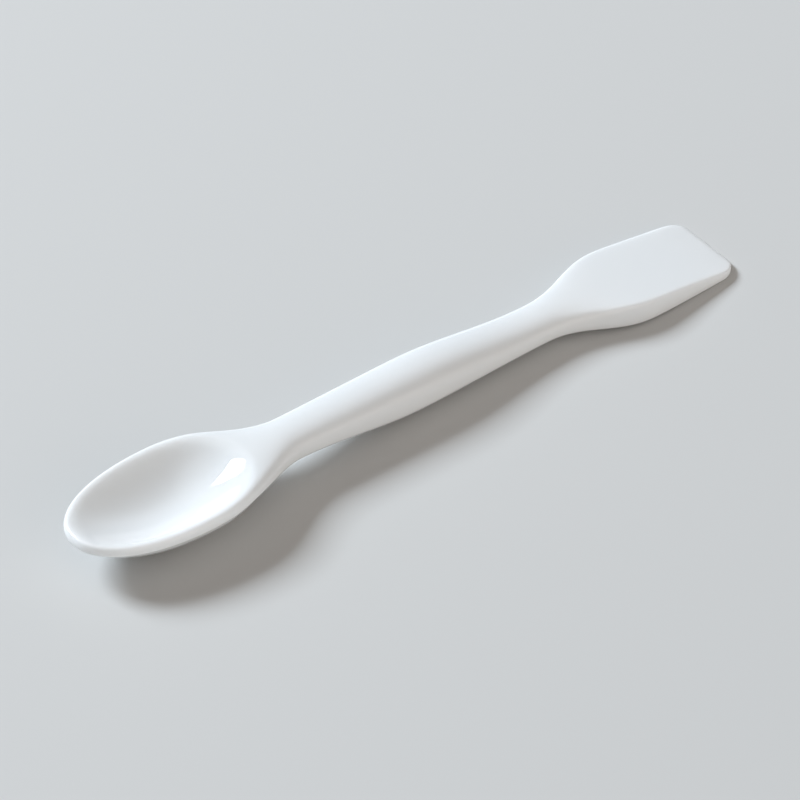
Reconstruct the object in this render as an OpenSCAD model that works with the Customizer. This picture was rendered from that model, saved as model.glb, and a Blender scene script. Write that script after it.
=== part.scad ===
// Combined spoon and spatula of glazed laboratory porcelain, fired as one piece.
// The tip of the bowl points to -X and the blade to +X. It lies as it rests on a bench:
// the belly of the bowl and the end of the blade touch Z = 0, and the handle clears it.

/* [Length] */
// Length from the tip of the bowl to the end of the blade
overall_length = 150; // [140:1:180]

/* [Bowl] */
// Greatest outside width of the bowl
bowl_width = 24.3; // [20:0.1:30]
// Distance from the tip to the widest part of the bowl
bowl_widest_at = 23.3; // [19:0.1:27]
// Fullness of the tip seen from above, where 2 is an ellipse
tip_fullness = 2.15; // [1.9:0.05:2.4]
// How late the bowl starts to narrow towards the neck, where 1 is an even curve
flare_delay = 1.25; // [1:0.05:1.4]
// Height of the rim above the bench
rim_height = 9.5; // [7:0.1:11]
// Radius of the outer edge of the rim
rim_edge_radius = 1.7; // [0.8:0.1:1.8]
// Distance from the tip to the lowest point of the belly
belly_at = 27.5; // [25:0.5:31]
// Fullness of the belly across the bowl, where 2 is a parabola
belly_fullness = 2.8; // [2:0.1:3]
// Fullness of the belly from its lowest point to the tip, where 2 is a parabola
belly_rise = 2.55; // [2.2:0.05:2.8]

/* [Hollow of the bowl] */
// Width of the rim seen from above
rim_width = 1.4; // [1.3:0.1:2.2]
// Distance from the tip to the deepest point of the hollow
hollow_deepest_at = 21; // [19:0.5:24]
// Distance from the tip to the end of the hollow beside the neck
hollow_end_at = 37.6; // [35:0.2:42]
// Fullness of the outline of the hollow, where 2 is an ellipse
hollow_fullness = 2.25; // [1.9:0.05:2.5]
// Height of the deepest point of the hollow above the bench
hollow_floor = 4; // [2.4:0.1:4.2]
// Steepness of the walls of the hollow, where 2 is a parabola
wall_steepness = 2; // [1.8:0.1:3]
// Height over which the inner edge of the rim is softened
lip_softness = 1.2; // [0.5:0.1:1.5]

/* [Neck] */
// Distance from the tip to where the sides begin to round over into the handle
rounding_from = 32; // [30:0.5:36]
// Distance from the tip to where the section has become a full oval
rounding_until = 49.5; // [47:0.5:56]
// Distance from the tip to the narrowest part of the neck
neck_at = 48.6; // [46:0.1:56]
// Width of the neck
neck_width = 9.6; // [8:0.1:12.5]
// Height of the top of the neck above the bench
neck_top = 9.8; // [8.5:0.1:12]
// Height of the underside of the neck above the bench
neck_bottom = 3.5; // [1.5:0.1:4.5]

/* [Grip] */
// Distance from the tip to the fullest part of the grip
grip_at = 76; // [66:0.5:82]
// Width of the grip
grip_width = 11.3; // [10:0.1:16]
// Height of the top of the grip above the bench
grip_top = 9.7; // [8:0.1:12]
// Height of the underside of the grip above the bench
grip_bottom = 0.7; // [0.5:0.1:3]
// Fullness of the top of the handle across, where 2 is an ellipse
top_fullness = 2.2; // [1.9:0.1:2.6]
// Fullness of the underside of the handle across, where 2 is an ellipse
underside_fullness = 2.5; // [1.9:0.1:2.6]

/* [Waist] */
// Distance from the waist to the end of the blade
waist_from_end = 42.6; // [39:0.1:47]
// Width of the waist
waist_width = 9; // [7.5:0.1:11.5]
// Height of the top of the waist above the bench
waist_top = 6.5; // [5.5:0.1:8.5]
// Height of the underside of the waist above the bench
waist_bottom = 0.8; // [0.5:0.1:2]

/* [Blade] */
// Distance from the shoulder, where the blade is widest, to its end
shoulder_from_end = 22.4; // [17:0.1:24]
// Greatest width of the blade
shoulder_width = 19.9; // [16:0.1:24]
// Width of the blade at its end, before the corners are rounded
end_width = 18.3; // [14:0.1:22]
// Thickness of the blade at its end
end_thickness = 1.3; // [1.2:0.1:2.4]
// Radius of the two corners seen from above
corner_radius = 4.2; // [1.5:0.1:5]
// How far the sides of the blade lean in for each unit that they rise
side_lean = 0.25; // [0.1:0.05:0.5]
// Sharpness of the upper edges of the blade, where 1 is a flat bevel and 2 an even round
side_fullness = 1.4; // [1.2:0.05:2]
// Length over which the upper edge rounds over at the end of the blade
end_rounding = 1.2; // [0.6:0.1:1.5]
// Depth to which the upper edge rounds over at the end of the blade
end_rounding_depth = 0.5; // [0.3:0.05:0.6]
// Radius of the lower edges of the blade
lower_edge_radius = 0.5; // [0.3:0.05:0.55]
// Distance from where the section has become flat to the end
flat_from_end = 24.2; // [24.2:0.2:32]
// How late the top starts to fall towards the end, where 1 is a straight slope
fall_delay = 1.4; // [1.2:0.05:1.8]

/* [Hidden] */

// Places along the length, measured from the tip
waist_at = overall_length - waist_from_end;
shoulder_at = overall_length - shoulder_from_end;
flat_at = overall_length - flat_from_end;
corner_at = overall_length - corner_radius;
// The rim ends here and the crown of the neck begins to rise
rim_ends_at = hollow_end_at + rim_width;

// Height of the narrow upright band that runs round the sides
side_band = 0.3;
// Height of the widest place of an oval section, as a share of the section's height
oval_middle = 0.47;
// Fullness of a plain ellipse
ellipse = 2;
// Delay of a curve that leaves one turning point as it reaches the next
even = 1;

// Rings in each stretch along the length
tip_rings = 22;
bowl_rings = 24;
neck_rings = 7;
handle_rings = 13;
blade_rings = 15;
corner_rings = 8;
// Steps across the top and across the underside of each ring
top_steps = 30;
under_steps = 20;
ring_size = top_steps + under_steps + 2;

// How far a place lies on the way from one place to another
function part_way(at, from, to) = min(max((at - from) / (to - from), 0), 1);

// Value between two others
function mix(first, second, part) = first + (second - first) * part;

// Rises from 0 to 1 with level ends
function ease(part) = part * part * (3 - 2 * part);

// Eased curve through turning points, each a place, a value and the delay after it
function through(at, points, i = 0) =
    i < len(points) - 2 && at > points[i + 1][0]
        ? through(at, points, i + 1)
        : let(part = part_way(at, points[i][0], points[i + 1][0]))
          mix(points[i][1], points[i + 1][1], ease(pow(part, points[i][2])));

// Quarter of an oval: 1 up to out = 0, then rounding down to 0 at out = 1
function oval_arc(out, fullness = ellipse) =
    pow(1 - pow(min(max(out, 0), 1), fullness), 1 / fullness);

// How far an edge has rounded over, at a distance past the start of its rounding
function rounded_over(past, length, depth) = depth * (1 - oval_arc(past / length));

// The lower of two heights, with the crease between them softened
function soft_min(a, b, softness) =
    let(overlap = max(1 - abs(a - b) / softness, 0))
    min(a, b) - softness * overlap * overlap / 4;

// Width seen from above, before the corners of the blade are rounded
function square_width(at) =
    at < bowl_widest_at
        ? bowl_width * oval_arc(1 - at / bowl_widest_at, tip_fullness)
        : through(at, [
            [bowl_widest_at, bowl_width, flare_delay],
            [neck_at, neck_width, even],
            [grip_at, grip_width, even],
            [waist_at, waist_width, even],
            [shoulder_at, shoulder_width, even],
            [overall_length, end_width]
        ]);

function half_width(at) =
    square_width(at) / 2 - rounded_over(at - corner_at, corner_radius, corner_radius);

// Crown of the top, before its ends are rounded and the bowl is hollowed
function crown(at) =
    at > waist_at
        ? mix(waist_top, end_thickness, pow(part_way(at, waist_at, overall_length), fall_delay))
        : through(at, [
            [rim_ends_at, rim_height, even],
            [neck_at, neck_top, even],
            [grip_at, grip_top, even],
            [waist_at, waist_top]
        ]);

// Underside, before the end of the blade is rounded
function keel(at) =
    at < belly_at
        ? (rim_height - rim_edge_radius - side_band) * pow(1 - at / belly_at, belly_rise)
        : through(at, [
            [belly_at, 0, even],
            [neck_at, neck_bottom, even],
            [grip_at, grip_bottom, even],
            [waist_at, waist_bottom, even],
            [overall_length, 0]
        ]);

// How far the section has become the oval of the handle, from 0 to 1
function ovalness(at) =
    ease(part_way(at, rounding_from, rounding_until)) - ease(part_way(at, waist_at, flat_at));

// Surface of the hollow, which climbs past the rim outside the hollow's outline
function hollow_height(at, y) =
    let(
        reach = at < hollow_deepest_at
            ? hollow_deepest_at - rim_width
            : hollow_end_at - hollow_deepest_at,
        along = abs(at - hollow_deepest_at) / reach,
        across = abs(y) / (bowl_width / 2 - rim_width),
        out = pow(pow(along, hollow_fullness) + pow(across, hollow_fullness), 1 / hollow_fullness)
    )
    mix(hollow_floor, rim_height, pow(out, wall_steepness));

// Top at the middle of the width, with the tip and the end of the blade rounded
function top_height(at) =
    crown(at)
        - rounded_over(rim_edge_radius - at, rim_edge_radius, rim_edge_radius)
        - rounded_over(at - overall_length + end_rounding, end_rounding, end_rounding_depth);

// Underside at the middle of the width, with the end of the blade rounded
function under_height(at) =
    keel(at)
        + rounded_over(at - overall_length + lower_edge_radius, lower_edge_radius, lower_edge_radius);

// Height of the widest place, where the underside meets the upright band at the side
function flat_side(at) =
    at > grip_at
        ? keel(at) + lower_edge_radius
        : crown(at) - rim_edge_radius - side_band;
function oval_side(at) = mix(keel(at), crown(at), oval_middle);

// Upper skin before the bowl is hollowed: flat with shaped edges, or the oval of the handle
function skin_height(at, y, half) =
    let(
        top = top_height(at),
        edge = flat_side(at) + side_band,
        edge_width = at > grip_at ? (top - flat_side(at)) * side_lean : rim_edge_radius,
        edge_fullness = at > grip_at ? side_fullness : ellipse,
        flat = mix(edge, top, oval_arc(1 - (half - abs(y)) / min(edge_width, half), edge_fullness)),
        round = mix(oval_side(at) + side_band / 2, top, oval_arc(abs(y) / half, top_fullness))
    )
    mix(flat, round, ovalness(at));

// Lower skin: the belly, the flat of the blade or the underside of the handle
function underside_height(at, y, half) =
    let(
        under = under_height(at),
        belly = 1 - pow(abs(y) / half, belly_fullness),
        blade = oval_arc(1 - (half - abs(y)) / lower_edge_radius),
        flat = mix(flat_side(at), under, at > grip_at ? blade : belly),
        round = mix(oval_side(at) - side_band / 2, under, oval_arc(abs(y) / half, underside_fullness))
    )
    mix(flat, round, ovalness(at));

// One closed section at a place along the length
function ring(at) =
    let(half = half_width(at))
    [
        for (i = [0 : top_steps])
            let(y = half * sin(180 * i / top_steps - 90))
            [at, y, soft_min(skin_height(at, y, half), hollow_height(at, y), lip_softness)],
        for (i = [0 : under_steps])
            let(y = half * sin(90 - 180 * i / under_steps))
            [at, y, underside_height(at, y, half)]
    ];

// Places of the rings, closer together round the tip and the corners
function ring_places() = [
    for (i = [1 : tip_rings]) bowl_widest_at * (1 - cos(90 * i / tip_rings)),
    for (i = [1 : bowl_rings]) mix(bowl_widest_at, rim_ends_at, i / bowl_rings),
    for (i = [1 : neck_rings]) mix(rim_ends_at, neck_at, i / neck_rings),
    for (i = [1 : handle_rings]) mix(neck_at, waist_at, i / handle_rings),
    for (i = [1 : blade_rings]) mix(waist_at, corner_at, i / blade_rings),
    for (i = [1 : corner_rings]) corner_at + corner_radius * sin(90 * i / corner_rings)
];

// Two triangles between neighbouring steps of neighbouring rings, mirrored about the length
function patch(first, i) =
    let(
        next = (i + 1) % ring_size,
        a = first + i,
        b = first + next,
        c = first + ring_size + next,
        d = first + ring_size + i,
        near_side = i < top_steps / 2 || i > top_steps + under_steps / 2
    )
    near_side ? [[a, b, c], [a, c, d]] : [[a, b, d], [b, c, d]];

// Body of the spatula: one skin over rings that run from the tip to the end of the blade
module spatula() {
    places = ring_places();
    rings = len(places);
    tip_point = rings * ring_size;
    end_point = tip_point + 1;
    last_ring = (rings - 1) * ring_size;
    tip_height = rim_height - rim_edge_radius - side_band / 2;
    end_height = (end_thickness - end_rounding_depth + lower_edge_radius) / 2;
    points = [
        for (at = places) each ring(at),
        [0, 0, tip_height],
        [overall_length, 0, end_height]
    ];
    faces = [
        for (r = [0 : rings - 2], i = [0 : ring_size - 1]) each patch(r * ring_size, i),
        for (i = [0 : ring_size - 1]) [tip_point, (i + 1) % ring_size, i],
        for (i = [0 : ring_size - 1]) [end_point, last_ring + i, last_ring + (i + 1) % ring_size]
    ];
    color("white")
        translate([-overall_length / 2, 0, 0])
            polyhedron(points = points, faces = faces);
}

spatula();
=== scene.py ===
"""Looks of the combined spoon and spatula: glazed white porcelain on a pale bench by a window."""
from math import cos, radians, sin

import bmesh
import bpy
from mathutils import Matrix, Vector


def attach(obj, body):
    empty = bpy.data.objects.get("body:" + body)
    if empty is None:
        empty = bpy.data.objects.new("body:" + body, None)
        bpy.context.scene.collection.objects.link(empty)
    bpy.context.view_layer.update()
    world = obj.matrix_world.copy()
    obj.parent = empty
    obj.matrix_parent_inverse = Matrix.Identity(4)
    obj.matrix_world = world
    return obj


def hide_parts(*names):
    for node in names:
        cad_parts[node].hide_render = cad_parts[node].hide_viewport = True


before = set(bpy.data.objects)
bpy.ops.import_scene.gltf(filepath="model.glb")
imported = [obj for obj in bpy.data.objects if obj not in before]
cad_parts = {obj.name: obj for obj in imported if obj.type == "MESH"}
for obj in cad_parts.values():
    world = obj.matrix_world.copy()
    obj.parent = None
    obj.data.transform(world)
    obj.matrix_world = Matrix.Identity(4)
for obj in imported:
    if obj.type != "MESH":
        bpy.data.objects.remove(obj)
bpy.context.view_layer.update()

MM = 0.001

# Camera, fitted to the photograph's perspective
FRAME_WIDTH_PX = 800
FOCAL_LENGTH_PX = 5500
SENSOR_WIDTH_MM = 36
CAMERA_ELEVATION = radians(41.21)
CAMERA_HEADING = radians(37.90)
CAMERA_DISTANCE = 1026.5 * MM
CAMERA_REACH = 10
AIM_POINT = Vector((0.84, 1.71, 0)) * MM

# Window light, from behind the object, so that the shadow falls towards the camera
WINDOW_HEADING = radians(111)
WINDOW_ELEVATION = radians(36)
WINDOW_DISTANCE = 3.0
WINDOW_WIDTH = 1.0
WINDOW_HEIGHT = 1.0
WINDOW_POWER = 113
WINDOW_COLOUR = (0.83, 0.915, 1.0)

# Light that the room returns: each glow's heading, elevation, sharpness and strength
ROOM_GLOWS = (
    (radians(-85), radians(5), 4, 1.85),
    (radians(0), radians(90), 4, 0.62),
    (radians(88), radians(44), 24, 0.6),
)
ROOM_COLOUR = (1.0, 0.94, 0.89, 1)

# Bench
FLOOR_SIZE = 6.0
FLOOR_COLOUR = (0.62, 0.62, 0.61, 1)
FLOOR_ROUGHNESS = 0.8

# Refining of the CAD mesh
WELD_DISTANCE = 1e-6
PAIR_FACE_ANGLE = radians(40)
PAIR_SHAPE_ANGLE = radians(60)
REFINE_LEVELS = 2

# Porcelain under its glaze
PORCELAIN_COOL = (0.82, 0.845, 0.86, 1)
PORCELAIN_WARM = (0.84, 0.85, 0.85, 1)
TONE_SCALE = 40
TONE_DETAIL = 3
SCATTER_DISTANCE = 2 * MM
GLAZE_IOR = 1.5
GLAZE_ROUGHNESS = (0.04, 0.09)
GLAZE_PATCH_SCALE = 120
GLAZE_WAVE_SCALE = 260
GLAZE_WAVE_HEIGHT = 0.004 * MM


def make_camera():
    """Camera at the photograph's viewing angle."""
    data = bpy.data.cameras.new("camera")
    data.sensor_width = SENSOR_WIDTH_MM
    data.lens = FOCAL_LENGTH_PX * SENSOR_WIDTH_MM / FRAME_WIDTH_PX
    data.clip_end = CAMERA_REACH
    camera = bpy.data.objects.new("camera", data)
    ahead = Vector((sin(CAMERA_HEADING), cos(CAMERA_HEADING), 0)) * cos(CAMERA_ELEVATION)
    look = ahead - Vector((0, 0, sin(CAMERA_ELEVATION)))
    camera.location = AIM_POINT - look * CAMERA_DISTANCE
    camera.rotation_euler = look.to_track_quat("-Z", "Y").to_euler()
    bpy.context.scene.collection.objects.link(camera)
    bpy.context.scene.camera = camera


def bearing(heading, elevation):
    """Unit vector towards a place round the object; headings run from +X towards +Y."""
    outward = cos(elevation)
    return Vector((outward * cos(heading), outward * sin(heading), sin(elevation)))


def make_window():
    """Soft rectangular light that faces the object."""
    direction = bearing(WINDOW_HEADING, WINDOW_ELEVATION)
    data = bpy.data.lights.new("window", "AREA")
    data.shape = "RECTANGLE"
    data.size = WINDOW_WIDTH
    data.size_y = WINDOW_HEIGHT
    data.energy = WINDOW_POWER
    data.color = WINDOW_COLOUR
    light = bpy.data.objects.new("window", data)
    light.location = direction * WINDOW_DISTANCE
    light.rotation_euler = (-direction).to_track_quat("-Z", "Y").to_euler()
    bpy.context.scene.collection.objects.link(light)


def make_room():
    """Pale light from the room: the sum of soft glows, each fading away from its middle."""
    world = bpy.data.worlds.new("room")
    world.use_nodes = True
    nodes = world.node_tree.nodes
    links = world.node_tree.links
    background = nodes["Background"]
    background.inputs["Color"].default_value = ROOM_COLOUR
    around = nodes.new("ShaderNodeTexCoord")

    def math_node(operation, value, second):
        node = nodes.new("ShaderNodeMath")
        node.operation = operation
        node.inputs[1].default_value = second
        links.new(value, node.inputs[0])
        return node

    level = None
    for heading, elevation, sharpness, strength in ROOM_GLOWS:
        facing = nodes.new("ShaderNodeVectorMath")
        facing.operation = "DOT_PRODUCT"
        facing.inputs[1].default_value = bearing(heading, elevation)
        links.new(around.outputs["Generated"], facing.inputs[0])
        ahead = math_node("MAXIMUM", facing.outputs["Value"], 0)
        glow = math_node("POWER", ahead.outputs["Value"], sharpness)
        total = math_node("MULTIPLY_ADD", glow.outputs["Value"], strength)
        total.inputs[2].default_value = 0
        if level:
            links.new(level, total.inputs[2])
        level = total.outputs["Value"]
    links.new(level, background.inputs["Strength"])
    bpy.context.scene.world = world


def make_floor():
    """Plain pale bench under the object."""
    bpy.ops.mesh.primitive_plane_add(size=FLOOR_SIZE, location=(0, 0, 0))
    floor = bpy.context.object
    floor.name = "floor"
    material = bpy.data.materials.new("floor")
    material.use_nodes = True
    shader = material.node_tree.nodes["Principled BSDF"]
    shader.inputs["Base Color"].default_value = FLOOR_COLOUR
    shader.inputs["Roughness"].default_value = FLOOR_ROUGHNESS
    floor.data.materials.append(material)


def refined_copy(node, name):
    """Smooth piece in a node's place: its facets welded, paired into quads and subdivided."""
    mesh = bpy.data.meshes.new(name)
    form = bmesh.new()
    form.from_mesh(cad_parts[node].data)
    bmesh.ops.remove_doubles(form, verts=form.verts, dist=WELD_DISTANCE)
    bmesh.ops.join_triangles(
        form, faces=form.faces,
        angle_face_threshold=PAIR_FACE_ANGLE, angle_shape_threshold=PAIR_SHAPE_ANGLE,
    )
    for face in form.faces:
        face.smooth = True
    form.to_mesh(mesh)
    form.free()
    piece = bpy.data.objects.new(name, mesh)
    bpy.context.scene.collection.objects.link(piece)
    refine = piece.modifiers.new("refine", "SUBSURF")
    refine.levels = REFINE_LEVELS
    refine.render_levels = REFINE_LEVELS
    return piece


def porcelain_material():
    """Porcelain that lets light in, faintly toned, under a clear glaze with soft waves."""
    material = bpy.data.materials.new("porcelain")
    material.use_nodes = True
    nodes = material.node_tree.nodes
    links = material.node_tree.links
    shader = nodes["Principled BSDF"]
    shader.inputs["Specular IOR Level"].default_value = 0
    shader.inputs["Subsurface Weight"].default_value = 1
    shader.inputs["Subsurface Radius"].default_value = (1, 1, 1)
    shader.inputs["Subsurface Scale"].default_value = SCATTER_DISTANCE
    shader.inputs["IOR"].default_value = GLAZE_IOR
    shader.inputs["Coat Weight"].default_value = 1
    shader.inputs["Coat IOR"].default_value = GLAZE_IOR
    place = nodes.new("ShaderNodeTexCoord")

    def noise_texture(scale):
        node = nodes.new("ShaderNodeTexNoise")
        node.inputs["Scale"].default_value = scale
        links.new(place.outputs["Object"], node.inputs["Vector"])
        return node

    tone = noise_texture(TONE_SCALE)
    tone.inputs["Detail"].default_value = TONE_DETAIL
    blend = nodes.new("ShaderNodeMix")
    blend.data_type = "RGBA"
    blend.inputs["A"].default_value = PORCELAIN_COOL
    blend.inputs["B"].default_value = PORCELAIN_WARM
    links.new(tone.outputs["Fac"], blend.inputs["Factor"])
    links.new(blend.outputs["Result"], shader.inputs["Base Color"])

    patches = noise_texture(GLAZE_PATCH_SCALE)
    gloss = nodes.new("ShaderNodeMapRange")
    gloss.inputs["To Min"].default_value = GLAZE_ROUGHNESS[0]
    gloss.inputs["To Max"].default_value = GLAZE_ROUGHNESS[1]
    links.new(patches.outputs["Fac"], gloss.inputs["Value"])
    links.new(gloss.outputs["Result"], shader.inputs["Coat Roughness"])

    waves = noise_texture(GLAZE_WAVE_SCALE)
    bump = nodes.new("ShaderNodeBump")
    bump.inputs["Distance"].default_value = GLAZE_WAVE_HEIGHT
    links.new(waves.outputs["Fac"], bump.inputs["Height"])
    links.new(bump.outputs["Normal"], shader.inputs["Coat Normal"])
    return material


make_camera()
make_window()
make_room()
make_floor()

body = refined_copy("spatula", "porcelain_body")
body.data.materials.append(porcelain_material())
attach(body, "root")
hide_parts("spatula")

bpy.context.scene.view_settings.view_transform = "Standard"
